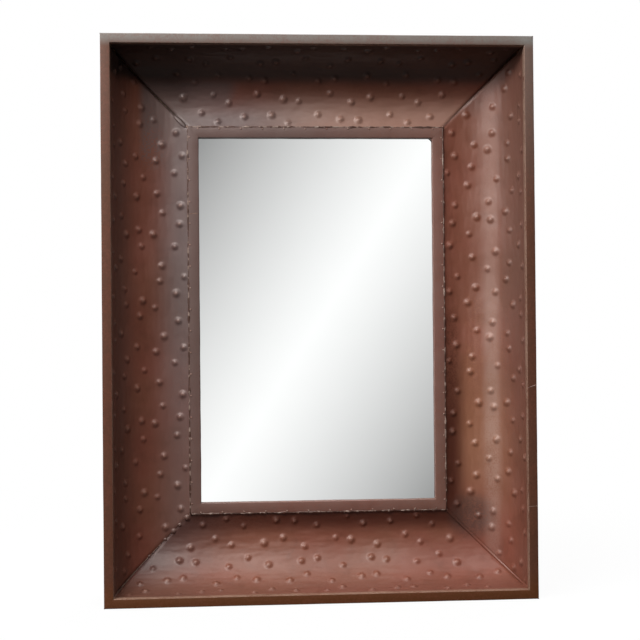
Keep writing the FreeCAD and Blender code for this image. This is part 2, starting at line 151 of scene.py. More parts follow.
# Rim: thin sheet folded tight over the front of the boards, a little way down inside and far back
# outside. The right one is pieced from three lengths that lap. Rust-brown patina, rubbed at the folds, with a
# painted highlight along the inner fold and painted sheen greying it towards the top.
WIDTH, HEIGHT, FRONT = 0.616, 0.806, -0.054
RIM_WIDTH, RIM_DEPTH, RIM_RETURN, RIM_FOLD, CLADDING = 0.0139, 0.105, 0.012, 0.0012, 0.0006
LOW_SEAM, LOW_SLANT = 0.165 * HEIGHT - HEIGHT / 2, 0.05
HIGH_SEAM, HIGH_SLANT = 0.38 * HEIGHT - HEIGHT / 2, 0.36
FACING_FRONT = (math.pi / 2, 0, 0)

# Each side's quarter turns on from the bottom, the place of its middle, and its length
SIDES = {
    "bottom": (0, (0, 0, 0), WIDTH),
    "left": (1, (-WIDTH / 2, 0, HEIGHT / 2), HEIGHT),
    "top": (2, (0, 0, HEIGHT), WIDTH),
    "right": (3, (WIDTH / 2, 0, HEIGHT / 2), HEIGHT),
}

# The patina's two reds with the smoke, stain and specks on them, then the rim's wear and painted light: where it
# is handled and at its foot, its dust and painted sheen, the drifts down its sides, and the rubbed fold with its
# painted highlight
RUST, RED_RUST, RUSTY_GLINT, PATINA_RELIEF = (0.21, 0.068, 0.037), (0.235, 0.068, 0.041), (1, 0.9, 0.85, 1), 0.0006
SMOKE, STAIN, SPECK = (0.27, 0.1, 0.066), (0.13, 0.037, 0.018), (0.07, 0.025, 0.015)
HANDLED, HANDLED_FOOT, DUST_AND_SHEEN = (0.08, 0.03, 0.014), (0.1, 0.03, 0.003), (0.21, 0.196, 0.178)
PALE_DRIFT, DARK_DRIFT, RUBBED_FOLD_AND_HIGHLIGHT = (0.22, 0.082, 0.05), (0.032, 0.015, 0.01), (0.36, 0.23, 0.17)


def begin(name, add, spread=(1, 1, 1), **place):
    """Starts a piece from a primitive at its place, with nothing else selected, and opens it for shaping."""
    bpy.ops.object.select_all(action="DESELECT")
    add(**place)
    piece = bpy.context.object
    piece.name = piece.data.name = name
    piece.scale = spread
    bpy.ops.object.transform_apply(location=True, rotation=True, scale=True)
    bpy.ops.object.mode_set(mode="EDIT")
    return piece


def pick(kind, chosen):
    """Selects the corners, edges or faces of the piece in hand that a test chooses."""
    bpy.ops.mesh.select_mode(type=kind)
    bpy.ops.mesh.select_all(action="DESELECT")
    mesh = bmesh.from_edit_mesh(bpy.context.edit_object.data)
    for item in getattr(mesh, kind.lower() + "s"):
        if chosen(item):
            item.select_set(True)
    mesh.select_flush_mode()
    bmesh.update_edit_mesh(bpy.context.edit_object.data)


def near(edge, axis, value, slack=1e-5):
    return all(abs(corner.co[axis] - value) < slack for corner in edge.verts)


def pull(direction):
    """Draws the picked edges out into a new stretch of sheet."""
    bpy.ops.mesh.extrude_region_move(TRANSFORM_OT_translate={"value": direction})


def divide_lengthwise(cuts, least=0.05):
    """Divides the edges that run at least so far along the bar."""
    pick("EDGE", lambda edge: abs(edge.verts[0].co.x - edge.verts[1].co.x) > least)
    bpy.ops.mesh.subdivide(number_cuts=cuts)


def cut_off(point, direction):
    """Cuts away what lies beyond a plane."""
    bpy.ops.mesh.select_all(action="SELECT")
    bpy.ops.mesh.bisect(plane_co=point, plane_no=direction, clear_outer=True)


def mitre(length):
    for hand in (1, -1):
        cut_off((hand * length / 2, 0, 0), (hand, 0, 1))


def apply_modifier(piece, kind, **settings):
    if piece.mode == "EDIT":
        bpy.ops.object.mode_set(mode="OBJECT")
    modifier = piece.modifiers.new(kind, kind)
    for name, value in settings.items():
        setattr(modifier, name, value)
    bpy.ops.object.modifier_apply(modifier=modifier.name)


def hand_worked(piece, patch, depth, detail=2, coords="LOCAL", **settings):
    """The small unevenness of sheet worked by hand, in patches of a size and so deep."""
    unevenness = bpy.data.textures.new("unevenness", "CLOUDS")
    unevenness.noise_scale, unevenness.noise_depth = patch, detail
    apply_modifier(piece, "DISPLACE", texture=unevenness, strength=depth, texture_coords=coords, **settings)


def thicken(piece, sheet, crease):
    """Gives a folded sheet its thickness behind, and keeps folds sharper than an angle crisp."""
    apply_modifier(piece, "SOLIDIFY", thickness=sheet, offset=-1)
    bpy.ops.object.shade_smooth_by_angle(angle=math.radians(crease))


def folded_strip(name, length, front, outer, width, outer_fold, inner_fold, bend, steps, cuts):
    """A strip of sheet along the front, folded back at both edges, rounded at the folds and mitred."""
    strip = begin(name, bpy.ops.mesh.primitive_plane_add, spread=(length, width, 1), size=1,
                  rotation=FACING_FRONT, location=(0, front, outer + width / 2))
    inner = outer + width
    for level, reach in ((outer, outer_fold), (inner, inner_fold)):
        pick("EDGE", lambda edge: near(edge, UPRIGHT, level))
        pull((0, reach, 0))
    pick("EDGE", lambda edge: near(edge, DEEP, front) and (near(edge, UPRIGHT, outer) or near(edge, UPRIGHT, inner)))
    bpy.ops.mesh.bevel(offset=bend, segments=steps, affect="EDGES")
    divide_lengthwise(cuts)
    mitre(length)
    return strip


def folded_rim(length, *seams):
    """One side of the rim, whole or cut at its seams."""
    rim = folded_strip("rim", length, front=FRONT, outer=0, width=RIM_WIDTH, outer_fold=RIM_DEPTH,
                       inner_fold=RIM_RETURN, bend=RIM_FOLD, steps=4, cuts=90)
    for seam in seams:
        cut_off(*seam)
    hand_worked(rim, patch=0.11, depth=0.0006, mid_level=1)
    thicken(rim, CLADDING, crease=40)
    return rim


def copied(piece, name, turn, place):
    """A copy of a piece with a mesh of its own, turned about the depth and set in its place."""
    bpy.ops.object.select_all(action="DESELECT")
    piece.select_set(True)
    bpy.context.view_layer.objects.active = piece
    bpy.ops.object.duplicate()
    copy = bpy.context.object
    copy.name = copy.data.name = name
    copy.rotation_euler.y = turn
    copy.location = place
    bpy.ops.object.transform_apply(location=True, rotation=True, scale=True)
    return copy


def fit(piece, side, name, finish, *nodes):
    """Copies a bar that was made along the bottom to its own side, for the nodes that it stands for."""
    turn, place, _ = SIDES[side]
    copy = copied(piece, name, turn * math.pi / 2, place)
    refinish(copy, finish)
    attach(copy, "frame")
    if nodes:
        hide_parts(*nodes)


def layered(colour, *coats):
    """A colour with coats laid over it one after another, each an amount and a colour."""
    for amount, coat in coats:
        colour = blended(amount, colour, coat)
    return colour


def patina(name, aged, gloss=0.85, dull=0.39):
    """Rust-brown patina, mottled and semi-gloss, with what its place on the object has done to it."""
    finish, place = new_finish(name)
    broad = cloud(place, 7.0, roughness=0.55)
    mottle = cloud(place, 34.0, detail=5.0, roughness=0.6, distortion=0.4)
    speck = cloud(place, 420.0, roughness=0.6)
    mottled = layered(
        blended(eased(broad, 0.36, 0.64), RUST, RED_RUST),
        (eased(mottle, 0.45, 0.75) * 0.35, SMOKE),
        (eased(1 - mottle, 0.5, 0.72) * 0.35, STAIN),
        (eased(speck, 0.62, 0.74) * 0.35, SPECK))
    colour = aged(place, mottled, eased(speck + mottle * 0.6, 0.55, 0.9))
    surface(place, colour, dull + 0.14 * mottle + 0.06 * speck, mottle * 0.6 + speck * 0.12, PATINA_RELIEF,
            **{"Specular IOR Level": gloss, "Specular Tint": RUSTY_GLINT})
    return finish


def coordinate(place, axis):
    return place.node("ShaderNodeSeparateXYZ", {}, {0: place}, output=axis)


def located(place):
    """How far a place lies in from the nearest side, how near it is to a mitre, how far right and how far up."""
    x, z = coordinate(place, ACROSS), coordinate(place, UPRIGHT)
    across = WIDTH / 2 - x.math("ABSOLUTE", x, 0.0)
    upward = HEIGHT / 2 - x.math("ABSOLUTE", z - HEIGHT / 2, 0.0)
    return x.math("MINIMUM", across, upward), x.math("ABSOLUTE", across - upward, 0.0), x, z


def rim_age(place, colour, broken):
    """Handled dark and warmer at the foot, greyed by dust and painted sheen on top and at the upper right, mottled
    down its sides, and rubbed bare along the inner fold, where a painted highlight lies too."""
    inward, _, x, z = located(place)
    handled = blended(1 - eased(z, 0.01, 0.05), HANDLED, HANDLED_FOOT)
    # Dust and painted sheen: greyer up the sides, most at the upper right, and on top
    side_dust_and_sheen = eased(z, 0.5, 0.8) * (0.07 + 0.25 * eased(x, 0.27, 0.3))
    top_dust_and_sheen = eased(z, HEIGHT - 0.02, HEIGHT - 0.005) * (0.42 + 0.3 * broken)
    behind = eased(coordinate(place, DEEP), FRONT, FRONT + 0.03)
    drift = cloud(place, 13.0, detail=5.0, roughness=0.62, distortion=0.3)
    return layered(
        colour,
        (broken * 0.3 + 0.55, handled),
        # dust and painted sheen
        ((side_dust_and_sheen + top_dust_and_sheen) * (1 - 0.65 * behind), DUST_AND_SHEEN),
        (behind * eased(drift, 0.5, 0.66) * 0.6, PALE_DRIFT),
        (behind * eased(1 - drift, 0.52, 0.66) * 0.6, DARK_DRIFT),
        # Rubbed fold and painted highlight: a thin pale line along the inner fold
        (eased(inward, RIM_WIDTH - 0.0011, RIM_WIDTH - 0.0004) * broken * 0.7, RUBBED_FOLD_AND_HIGHLIGHT))


rim_finish = patina("rim_patina", rim_age, gloss=0.45, dull=0.44)
short_rim, long_rim = folded_rim(WIDTH), folded_rim(HEIGHT)
for side, rim in (("bottom", short_rim), ("top", short_rim), ("left", long_rim)):
    fit(rim, side, f"{side}_rim_cladding", rim_finish, f"{side}_rim")
for rim in (short_rim, long_rim):
    bpy.data.objects.remove(rim)
low_point, high_point = (LOW_SEAM, 0, 0), (HIGH_SEAM, 0, 0)
for part, seams in (("lower", [(low_point, (1, 0, LOW_SLANT))]),
                    ("middle", [(low_point, (-1, 0, -LOW_SLANT)), (high_point, (1, 0, HIGH_SLANT))]),
                    ("upper", [(high_point, (-1, 0, -HIGH_SLANT))])):
    stretch = folded_rim(HEIGHT, *seams)
    fit(stretch, "right", f"right_rim_cladding_{part}", rim_finish, f"right_rim_{part}")
    bpy.data.objects.remove(stretch)

# Scoops: thin sheet beaten from behind into low round bosses while flat, then rolled to a deep
# cove and mitred. Each is tucked under the rim's fold and runs down to the lip. Same patina.
SCOOP_SHEET, SCOOP_RADIUS, SCOOP_RISE, SCOOP_FACE = 0.0007, 0.076, 0.006, 0.0133
SCOOP_AXIS_Y, SCOOP_EDGE, SCOOP_CELL = -0.04, 0.012, 0.0015
SCOOP_SWEEP = math.pi - math.acos(math.sqrt(SCOOP_RADIUS ** 2 - (SCOOP_RADIUS - SCOOP_RISE) ** 2) / SCOOP_RADIUS)
SCOOP_GIRTH = SCOOP_SWEEP * SCOOP_RADIUS
MITRE_GAP, MITRE_TUCK, MITRE_TUCK_REACH, MITRE_TUCK_FROM, MITRE_STIFF = 0.0008, 0.0012, 0.0036, -0.02, 0.05
EDGE_SLACK, MITRE_SLACK = 0.0005, 0.001
BOSS_HEIGHT, BOSS_PITCH, BOSS_WANDER, BOSS_MARGIN, BOSS_LANES = 0.0024, 0.035, 0.007, 0.009, 5

# Beats of the waves that set how far each boss strays along its lane and across it, by lane and by column
STRAY_ALONG, STRAY_ACROSS = (4.1, 2.3), (1.7, 3.9)

# The punches differ a little in how high and how wide they raise a boss
PUNCHES, PUNCH_RISE, PUNCH_RISE_STEP, PUNCH_REACH, PUNCH_REACH_STEP = 4, 0.9, 0.1, 0.0061, 0.0005

# Wear, and the painted light and shade laid with it, in the order that it is laid on
PAINTED_WARM_LIGHT, RIM_PAINTED_SHADOW, GREY_EDGE = (0.38, 0.165, 0.082), (0.105, 0.042, 0.027), (0.12, 0.068, 0.052)
PAINTED_LIP_SHEEN, PAINTED_SHADE_BY_LIP, SCUFF = (0.112, 0.1, 0.1), (0.075, 0.013, 0.004), (0.07, 0.034, 0.027)
PAINTED_HIGHLIGHT_BAND, PAINTED_LOW_LEFT_SHADE, PAINTED_TAN_LIGHT = (0.46, 0.31, 0.255), (0.075, 0.03, 0.026), (0.41, 0.235, 0.175)
PAINTED_TOP_SHADOW, GRIME_AND_SHADE, CROWN = (0.022, 0.011, 0.008), (0.045, 0.02, 0.014), (0.4, 0.22, 0.165)
SCUFF_X, SCUFF_Z, MITRE_BLUR = 0.227, 0.108, 0.002


def inward_at(down):
    """How far in from the outer face a place on the rolled sheet lies, so far down from its outer edge."""
    return SCOOP_FACE + SCOOP_RADIUS * (1 - math.cos(down / SCOOP_RADIUS))


def boss_places(length):
    """Where the bosses stand on the flat sheet: along it, and down from its outer edge."""
    columns = 2 * math.ceil(length / 2 / BOSS_PITCH) + 1
    for lane in range(BOSS_LANES):
        for column in range(columns):
            stray_along, stray_across = [BOSS_WANDER * math.sin(by_lane * lane + by_column * column)
                                         for by_lane, by_column in (STRAY_ALONG, STRAY_ACROSS)]
            along = (column - columns // 2 + lane % 2 / 2) * BOSS_PITCH + stray_along
            down = SCOOP_GIRTH * (lane + 0.5) / BOSS_LANES + stray_across
            if abs(along) < length / 2 - inward_at(down) - BOSS_MARGIN:
                yield along, down


def raise_bosses(length, cell_along, cell_down):
    """Drives the bosses up on the flat sheet, with punches of a few sizes."""
    for punch in range(PUNCHES):
        struck = {(round((along + length / 2) / cell_along), round(down / cell_down))
                  for index, (along, down) in enumerate(boss_places(length)) if 3 * index % PUNCHES == punch}
        pick("VERT", lambda corner: (round((corner.co.x + length / 2) / cell_along),
                                     round(corner.co.z / cell_down)) in struck)
        bpy.ops.transform.translate(value=(0, -BOSS_HEIGHT * (PUNCH_RISE + PUNCH_RISE_STEP * punch), 0),
                                    use_proportional_edit=True, proportional_edit_falloff="SMOOTH",
                                    proportional_size=PUNCH_REACH + PUNCH_REACH_STEP * punch)


def hammered_sheet(length):
    """One scoop: bosses raised on the flat sheet, waves left by the hammer, then the sheet rolled and mitred."""
    columns, rows = round(length / SCOOP_CELL), round(SCOOP_GIRTH / SCOOP_CELL)
    scoop = begin("scoop", bpy.ops.mesh.primitive_grid_add, spread=(length, SCOOP_GIRTH, 1), size=1,
                  x_subdivisions=columns, y_subdivisions=rows,
                  rotation=FACING_FRONT, location=(0, 0, SCOOP_GIRTH / 2))
    raise_bosses(length, length / columns, SCOOP_GIRTH / rows)
    scoop.vertex_groups.new(name="free")
    sheet = bmesh.from_edit_mesh(scoop.data)
    raised, free = sheet.verts.layers.float.new("raised"), sheet.verts.layers.deform.verify()
    for corner in sheet.verts:
        x, y, z = corner.co
        corner[raised] = -y / BOSS_HEIGHT
        to_mitre = length / 2 - abs(x) - inward_at(z)
        corner[free][0] = max(0, math.sin(math.pi * z / SCOOP_GIRTH) * min(1, to_mitre / MITRE_STIFF))
    bmesh.update_edit_mesh(scoop.data)
    hand_worked(scoop, patch=0.03, depth=0.0007, direction="Y")
    hand_worked(scoop, patch=0.1, depth=0.006, detail=0, direction="Y", vertex_group="free")
    hand_worked(scoop, patch=0.09, depth=0.0007, coords="UV", direction="Y")
    apply_modifier(scoop, "SIMPLE_DEFORM", deform_method="BEND", deform_axis="X", angle=-SCOOP_SWEEP)
    scoop.rotation_euler.x = -math.pi / 2
    scoop.location = (0, SCOOP_AXIS_Y, SCOOP_FACE)
    bpy.ops.object.transform_apply(location=True, rotation=True, scale=True)
    bpy.ops.object.mode_set(mode="EDIT")
    outermost = SCOOP_AXIS_Y + EDGE_SLACK
    pick("EDGE", lambda edge: edge.is_boundary and all(corner.co.y < outermost for corner in edge.verts))
    pull((0, -SCOOP_EDGE, 0))
    mitre(length - MITRE_GAP)
    pick("VERT", lambda corner: abs(length / 2 - abs(corner.co.x) - corner.co.z) < MITRE_SLACK
         and corner.co.y > MITRE_TUCK_FROM)
    bpy.ops.transform.shrink_fatten(value=-MITRE_TUCK, use_proportional_edit=True, proportional_edit_falloff="SMOOTH",
                                    proportional_size=MITRE_TUCK_REACH)
    thicken(scoop, SCOOP_SHEET, crease=50)
    return scoop


def scoop_age(place, colour, broken):
    """Painted shadow under the rim, deepest under the top one, warm painted light and a pale painted highlight
    band at the right with a scuff low down, a painted grey sheen beside the lip at the upper left, painted shade
    beside it low down and at the lower left, and painted tan light at the top beside the lip. Grime with painted
    shade lies round the bosses and in the mitres, and the crowns are rubbed."""
    inward, off_mitre, x, z = located(place)
    up = z - HEIGHT / 2 + (broken - 0.5) * 0.1
    mitre_lines = ((z - x, HEIGHT - WIDTH / 2), (x - z, -WIDTH / 2), (z + x, WIDTH / 2))
    past_top, past_bottom, past_right = [
        eased(line, level - MITRE_BLUR, level + MITRE_BLUR) for line, level in mitre_lines]
    left, by_right = 1 - eased(x, -0.25, -0.1), eased(x, 0.2, 0.24)

    # Painted light: a warmer, lighter rust where the lower right of the right scoop is lit
    warm = (eased(x, 0.16, 0.23) * (1 - eased(up, -0.15, 0.1)) * past_right
            * eased(z, 0.05, 0.22) * eased(inward, 0.015, 0.05))
    # Painted shadow of the rim: darker close under it, more on the left
    shaded = (1 - eased(inward, 0.014, 0.03 + 0.015 * left)) * (0.4 + 0.4 * left)
    edged = by_right * (1 - eased(inward, 0.028, 0.046)) * eased(up, -0.3, 0.1)
    # Painted sheen: grey beside the lip, towards the upper left
    sheen_side = (eased(inward, 0.05, 0.112) * (0.65 + 0.35 * eased(up, -0.2, 0.1))
                 * (1 - eased(x * 2.6 - up * 0.8, -0.4, 0.05)))
    sheen_corner = eased(-1 * x, 0.105, 0.135) * eased(up, 0.25, 0.29) * eased(inward, 0.045, 0.058)
    # Painted shade: dark beside the lip low down and to the right
    dark = eased(inward, 0.08, 0.108) * eased(x * 0.7 - up * 1.2, 0.0, 0.3) * past_bottom
    scuffed = 1 - eased((x - SCUFF_X) * (x - SCUFF_X) + (z - SCUFF_Z) * (z - SCUFF_Z), 0.0001, 0.0018)
    # Painted highlight: a pale band down the right scoop
    highlight_band = (by_right * past_right * (1 - past_top) * eased(inward, 0.034, 0.046) * (1 - eased(inward, 0.052, 0.066))
                * (1 - 0.65 * eased(up, 0.0, 0.22)) * (0.5 + 0.5 * eased(up, -0.3, -0.12)))
    # Painted shade: darker at the left end of the bottom scoop
    low_left_shade = past_bottom * (1 - eased(x, -0.27, -0.1)) * eased(inward, 0.015, 0.05)
    # Painted light: a paler tan on the top scoop beside the lip, from the middle rightwards
    top_light = past_top * eased(inward, 0.056, 0.1) * eased(x, -0.13, 0.02)
    # Painted shadow: near black high in the top scoop, under the top rim
    top_shadow = past_top * eased(z, HEIGHT - 0.06, HEIGHT - 0.043)

    raised = place.node("ShaderNodeAttribute", {"attribute_name": "raised"}, {}, output="Fac")
    # Grime and painted shade round the foot of each boss
    boss_foot = eased(raised, 0.02, 0.12) * (1 - eased(raised, 0.2, 0.5))
    soldered = eased(0.4 * x - z, -0.65, -0.15)
    # Grime and painted shade along the mitre creases, less where solder fills them
    groove = ((1 - eased(off_mitre, 0.0012, 0.0045)) * (0.9 - 0.75 * soldered)
              * eased(inward, 0.03, 0.07) * (1 - 0.6 * eased(x, 0.1, 0.2)))
    return layered(
        colour,
        # painted warm light
        (warm * 0.5, PAINTED_WARM_LIGHT),
        # painted shadow under the rim
        (shaded, RIM_PAINTED_SHADOW),
        (edged * 0.5, GREY_EDGE),
        # painted grey sheen
        (x.math("MAXIMUM", sheen_side, sheen_corner * 0.8) * 0.75, PAINTED_LIP_SHEEN),
        # painted shade beside the lip
        (dark * 0.95, PAINTED_SHADE_BY_LIP),
        (scuffed * (0.3 + 0.5 * broken), SCUFF),
        # painted highlight band
        (highlight_band * (0.22 + 0.22 * broken), PAINTED_HIGHLIGHT_BAND),
        # painted shade at the lower left
        (low_left_shade * 0.95, PAINTED_LOW_LEFT_SHADE),
        # painted tan light
        (top_light * 0.55, PAINTED_TAN_LIGHT),
        # painted shadow under the top rim
        (top_shadow * 0.88, PAINTED_TOP_SHADOW),
        # grime and painted shade
        (x.math("MAXIMUM", boss_foot * 0.04, groove), GRIME_AND_SHADE),
        (eased(raised, 0.6, 1.0) * (0.1 + 0.2 * broken), CROWN))


def fit_round(make, name, finish, part=None):
    """Makes a short bar and a long one and fits each to its two sides, for the nodes that they stand for."""
    for length, sides in ((WIDTH, ("bottom", "top")), (HEIGHT, ("left", "right"))):
        bar = make(length)
        for side in sides:
            fit(bar, side, f"{side}_{name}", finish, *([f"{side}_{part}"] if part else []))
        bpy.data.objects.remove(bar)


scoop_finish = patina("scoop_patina", scoop_age)
fit_round(hammered_sheet, "hammered_scoop", scoop_finish, "scoop")

# Lip: narrow sheet folded over the strips round the glass, butted at the corners and soldered to the
# scoops along its outer edge. The same patina, a little greyed, with painted shadow darkening it on the left.
LIP_OUTER, LIP_WIDTH, LIP_Y, LIP_BACK, LIP_RETURN, LIP_FOLD = 0.1189, 0.0156, 0.028, 0.012, 0.0065, 0.001
LIP_WORN, LIP_SHADOW = (0.17, 0.112, 0.098), (0.085, 0.066, 0.062)


def folded_lip(length):
    """One side of the lip."""
    lip = folded_strip("lip", length, front=LIP_Y, outer=LIP_OUTER, width=LIP_WIDTH, outer_fold=LIP_BACK,
                       inner_fold=LIP_RETURN, bend=LIP_FOLD, steps=3, cuts=110)
    hand_worked(lip, patch=0.035, depth=0.0009)
    thicken(lip, CLADDING, crease=40)
    return lip


def lip_age(place, colour, broken):
    """Worn in patches, and darkened on the left with painted shadow."""
    _, _, x, z = located(place)
    left = 1 - eased(x - (z - HEIGHT / 2) * 0.4, -0.2, 0.1)
    # Painted shadow on the left of the lip
    return layered(colour, (0.3 + 0.2 * broken, LIP_WORN), (0.6 * left, LIP_SHADOW))


lip_finish = patina("lip_patina", lip_age)
fit_round(folded_lip, "lip_cladding", lip_finish, "lip")

# Solder and tacks: a lumpy seam of soft solder where each scoop meets its lip, drops of it on the mitres and
# across the lapped ends of rim and lip, and small round tacks that pin the lip. Stained, brighter on top.
BEAD_Y, BEAD_IN, BEAD_RADIUS, BEAD_STEP = 0.029, 0.1187, 0.001, 0.0016
TACK_RADIUS, TACK_RISE, TACK_ROUND, TACK_IN, TACK_PITCH, TACK_CLEAR = 0.0013, 0.0008, 0.0007, 0.0022, 0.031, 0.03
DROP_SUNK_SHARE, FILLET_SHEET, FILLET_RISE, FILLET_EDGE = 0.45, 0.0006, 0.0001, 0.002
FILLET_BLANK, FILLET_BLANK_AT = 0.3, 0.075
LAP_RADIUS, LAP_STEP, LAP_DEPTH, SIDE_LAP = 0.0006, 0.0012, 0.0007, RIM_DEPTH - 0.002
LIP_LAP, LIP_LAP_SLANT, LIP_LAP_DEPTH = -0.1505, 0.05, 0.0003
SOLDER_STAIN, SOLDER_BRIGHT, BARE_METAL = (0.035, 0.02, 0.015), (0.36, 0.26, 0.215), (0.36, 0.27, 0.225)


def seam_bead(length):
    """Solder as it flowed and set along the lip's outer edge."""
    run = length - 2 * BEAD_IN
    bead = begin("seam_bead", bpy.ops.mesh.primitive_cylinder_add, vertices=8, radius=BEAD_RADIUS, depth=run,
                 rotation=(0, math.pi / 2, 0), location=(0, BEAD_Y, BEAD_IN))
    divide_lengthwise(round(run / BEAD_STEP))
    hand_worked(bead, patch=0.006, depth=0.003, mid_level=0.42)
    bpy.ops.object.shade_smooth()
    return bead


def tack_row(length):
    """One flat-domed tack, set out along the lip's outer edge."""
    run = length - 2 * LIP_OUTER - TACK_CLEAR
    tacks = begin("tacks", bpy.ops.mesh.primitive_cylinder_add, vertices=12, radius=TACK_RADIUS, depth=2 * TACK_RISE,
                  rotation=FACING_FRONT, location=(-run / 2, LIP_Y, LIP_OUTER + TACK_IN))
    pick("EDGE", lambda edge: near(edge, DEEP, LIP_Y - TACK_RISE))
    bpy.ops.mesh.bevel(offset=TACK_ROUND, segments=3, affect="EDGES")
    count = round(run / TACK_PITCH)
    apply_modifier(tacks, "ARRAY", count=count + 1, use_relative_offset=False, use_constant_offset=True,
                   constant_offset_displace=(run / count, 0, 0))
    bpy.ops.object.shade_smooth()
    return tacks


def cove_point(length, angle, sunk=0.0):
    """A point on the bar's left mitre, so many degrees round the cove and so far down into it."""
    turn, radius = math.radians(angle), SCOOP_RADIUS + sunk
    inward = SCOOP_FACE + SCOOP_RADIUS - radius * math.cos(turn)
    return inward - length / 2, SCOOP_AXIS_Y + radius * math.sin(turn), inward


def mitre_drops(length, *places):
    """Drops of solder on the left mitre, each so far round the cove and so large, set low as they ran."""
    spots = [{"radius": size, "location": cove_point(length, angle, size * DROP_SUNK_SHARE)} for angle, size in places]
    drops = begin("mitre_drops", bpy.ops.mesh.primitive_uv_sphere_add, segments=16, ring_count=10, **spots[0])
    for spot in spots[1:]:
        bpy.ops.mesh.primitive_uv_sphere_add(segments=16, ring_count=10, **spot)
    hand_worked(drops, patch=0.004, depth=0.0009)
    bpy.ops.object.shade_smooth()
    return drops


def mitre_fillet(length, width, reach):
    """Solder wiped flush along the left mitre as far in as it reaches: a cove of its own, cut to a narrow strip."""
    fillet = begin("mitre_fillet", bpy.ops.mesh.primitive_plane_add, spread=(FILLET_BLANK, FILLET_EDGE, 1), size=1,
                   location=(FILLET_BLANK_AT - length / 2, SCOOP_AXIS_Y - FILLET_EDGE / 2, SCOOP_FACE + FILLET_RISE))
    pick("EDGE", lambda edge: near(edge, DEEP, SCOOP_AXIS_Y))
    bpy.ops.mesh.spin(steps=48, angle=-SCOOP_SWEEP, center=(0, SCOOP_AXIS_Y, SCOOP_FACE + SCOOP_RADIUS), axis=(1, 0, 0))
    for hand in (1, -1):
        cut_off((hand * width * math.sqrt(0.5) - length / 2, 0, 0), (hand, 0, -hand))
    cut_off((0, 0, reach), (0, 0, 1))
    apply_modifier(fillet, "SOLIDIFY", thickness=FILLET_SHEET, offset=0)
    hand_worked(fillet, patch=0.006, depth=0.0003)
    bpy.ops.object.shade_smooth()
    return fillet


def lap_line(length, turn, middle):
    """The rubbed and soldered edge of a lapped end, a little uneven along its run."""
    line = begin("lap_line", bpy.ops.mesh.primitive_cylinder_add, vertices=8, radius=LAP_RADIUS, depth=length,
                 rotation=turn, location=middle)
    pick("EDGE", lambda edge: edge.calc_length() > length / 2)
    bpy.ops.mesh.subdivide(number_cuts=round(length / LAP_STEP))
    hand_worked(line, patch=0.004, depth=0.0002)
    bpy.ops.object.shade_smooth()
    return line


def front_lap(along, slant, depth, low, high):
    """Such an edge across the front of a bar."""
    return lap_line((high - low) * math.hypot(1, slant), (0, -math.atan(slant), 0),
                    (along - slant * (low + high) / 2, depth, (low + high) / 2))


def rim_lap(along, slant):
    """Such an edge across the front of the rim."""
    return front_lap(along, slant, FRONT + LAP_DEPTH, CLADDING, RIM_WIDTH - CLADDING)


def side_lap(along):
    """Such an edge where it runs on down the outside of the rim."""
    return lap_line(SIDE_LAP, FACING_FRONT, (along, FRONT + RIM_DEPTH / 2, LAP_DEPTH))


def solder_age(place, colour, broken):
    """Stained dark, with the bright metal showing through in places."""
    bright = eased(cloud(place, 110.0), 0.5, 0.6)
    return layered(colour, (0.65 + 0.15 * broken, SOLDER_STAIN), (bright * 0.85, SOLDER_BRIGHT))


def bare_age(place, colour, broken):
    """Rubbed back to pale metal."""
    return blended(0.25 + 0.4 * broken, colour, BARE_METAL)


solder_finish, bare_finish = patina("solder_patina", solder_age), patina("rubbed_patina", bare_age)
fit_round(seam_bead, "seam_bead", solder_finish)
fit_round(tack_row, "tacks", bare_finish)
for side, name, finish, places in (
        ("bottom", "large_drops", lip_finish, ((108, 0.005), (100, 0.0036), (93, 0.0048), (84, 0.0032), (66, 0.0024))),
        ("bottom", "mitre_drops", bare_finish, ((112, 0.0016), (110, 0.0013))),
        ("left", "mitre_drops", bare_finish, ((112, 0.002), (104, 0.0011))),
        ("top", "mitre_drops", bare_finish, ((112, 0.0013),)),
        ("right", "mitre_drops", bare_finish, ((112, 0.0012),))):
    drops = mitre_drops(SIDES[side][2], *places)
    fit(drops, side, f"{side}_{name}", finish)
    bpy.data.objects.remove(drops)
for side, finish, width, reach in (("right", scoop_finish, 0.004, LIP_OUTER), ("bottom", bare_finish, 0.0006, 0.075)):
    fillet = mitre_fillet(SIDES[side][2], width, reach)
    fit(fillet, side, f"{side}_mitre_fillet", finish)
    bpy.data.objects.remove(fillet)
for side, name, finish, line in (
        ("right", "high_lap", bare_finish, rim_lap(HIGH_SEAM, HIGH_SLANT)),
        ("right", "low_lap", bare_finish, rim_lap(LOW_SEAM, LOW_SLANT)),
        ("right", "high_side_lap", bare_finish, side_lap(HIGH_SEAM)),
        ("right", "low_side_lap", bare_finish, side_lap(LOW_SEAM)),
        ("left", "lip_lap", rim_finish, front_lap(LIP_LAP, LIP_LAP_SLANT, LIP_Y + LIP_LAP_DEPTH,
                                                  LIP_OUTER, LIP_OUTER + LIP_WIDTH - CLADDING))):
    fit(line, side, f"{side}_{name}", finish)
    bpy.data.objects.remove(line)

# Corner leaf: at the upper left the scoop's edge is folded over its neighbour in a narrow leaf that lies
# on the mitre beside the lip. The scoop's own sheet and patina.
LEAF_SPREAD, LEAF_ANGLE, LEAF_TILT, LEAF_SHIFT = (0.0135, 0.0016, 0.0034), 105, -0.19, 0.0012
x, y, z = cove_point(HEIGHT, LEAF_ANGLE)
leaf = begin("leaf", bpy.ops.mesh.primitive_uv_sphere_add, spread=LEAF_SPREAD, segments=24, ring_count=12, radius=1,
             rotation=(Matrix.Rotation(-math.pi / 4, 4, "Y") @ Matrix.Rotation(LEAF_TILT, 4, "Z")).to_euler(),
             location=(x + LEAF_SHIFT, y, z - LEAF_SHIFT))
hand_worked(leaf, patch=0.004, depth=0.0008)
bpy.ops.object.shade_smooth()
fit(leaf, "left", "corner_leaf", scoop_finish)
bpy.data.objects.remove(leaf)

